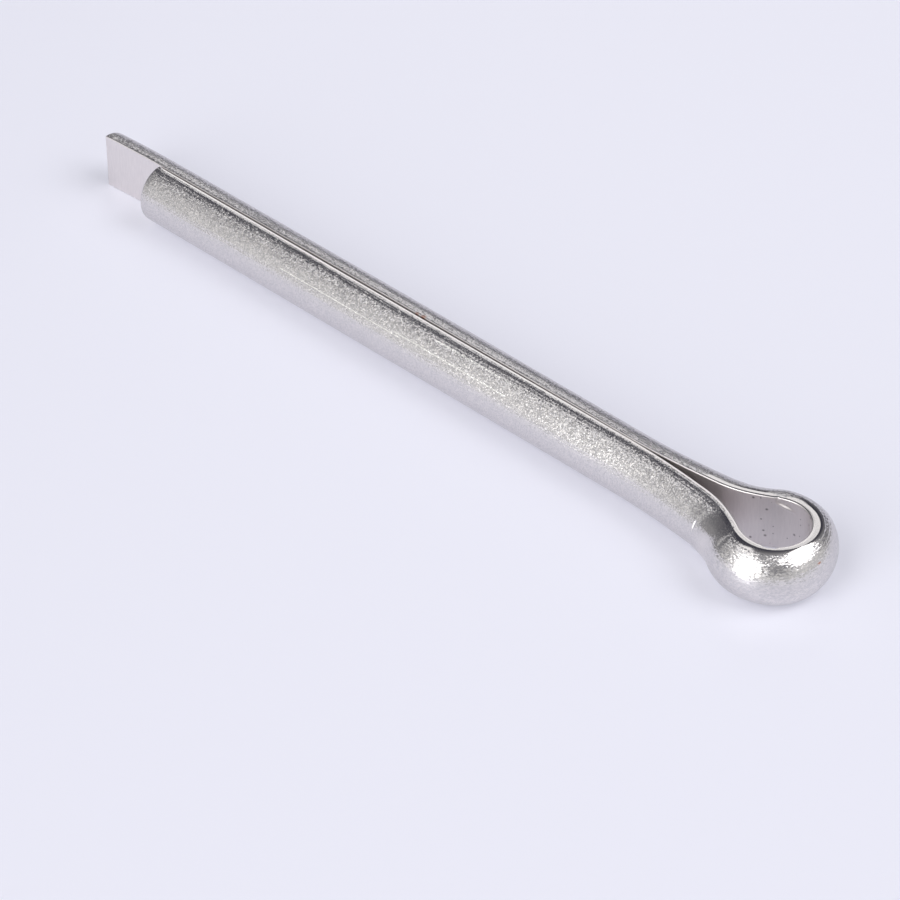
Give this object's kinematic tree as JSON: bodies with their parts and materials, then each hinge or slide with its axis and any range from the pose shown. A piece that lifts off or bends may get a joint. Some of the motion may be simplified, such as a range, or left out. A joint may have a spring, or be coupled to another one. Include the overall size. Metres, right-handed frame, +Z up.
{
  "type": "cotter pin",
  "caption": "Split cotter pin of half-round steel wire, folded into a round shank with a teardrop eye and one prong longer than the other.",
  "frame": {"origin": "on the shank's axis at the shoulder, where the eye begins", "axes": "+X along the shank from the prong tips towards the eye, +Y towards the long prong's side of the split, +Z up out of the eye's loop, with the pin lying flat as it rests on a table"},
  "size_m": [0.0524, 0.0072, 0.0034],
  "materials": {
    "steel_wire": "satin stainless wire with a fine tumbled grain and faint lengthwise draw lines"
  },
  "bodies": {
    "root": {"cotter_pin": "steel_wire"}
  },
  "joints": []
}
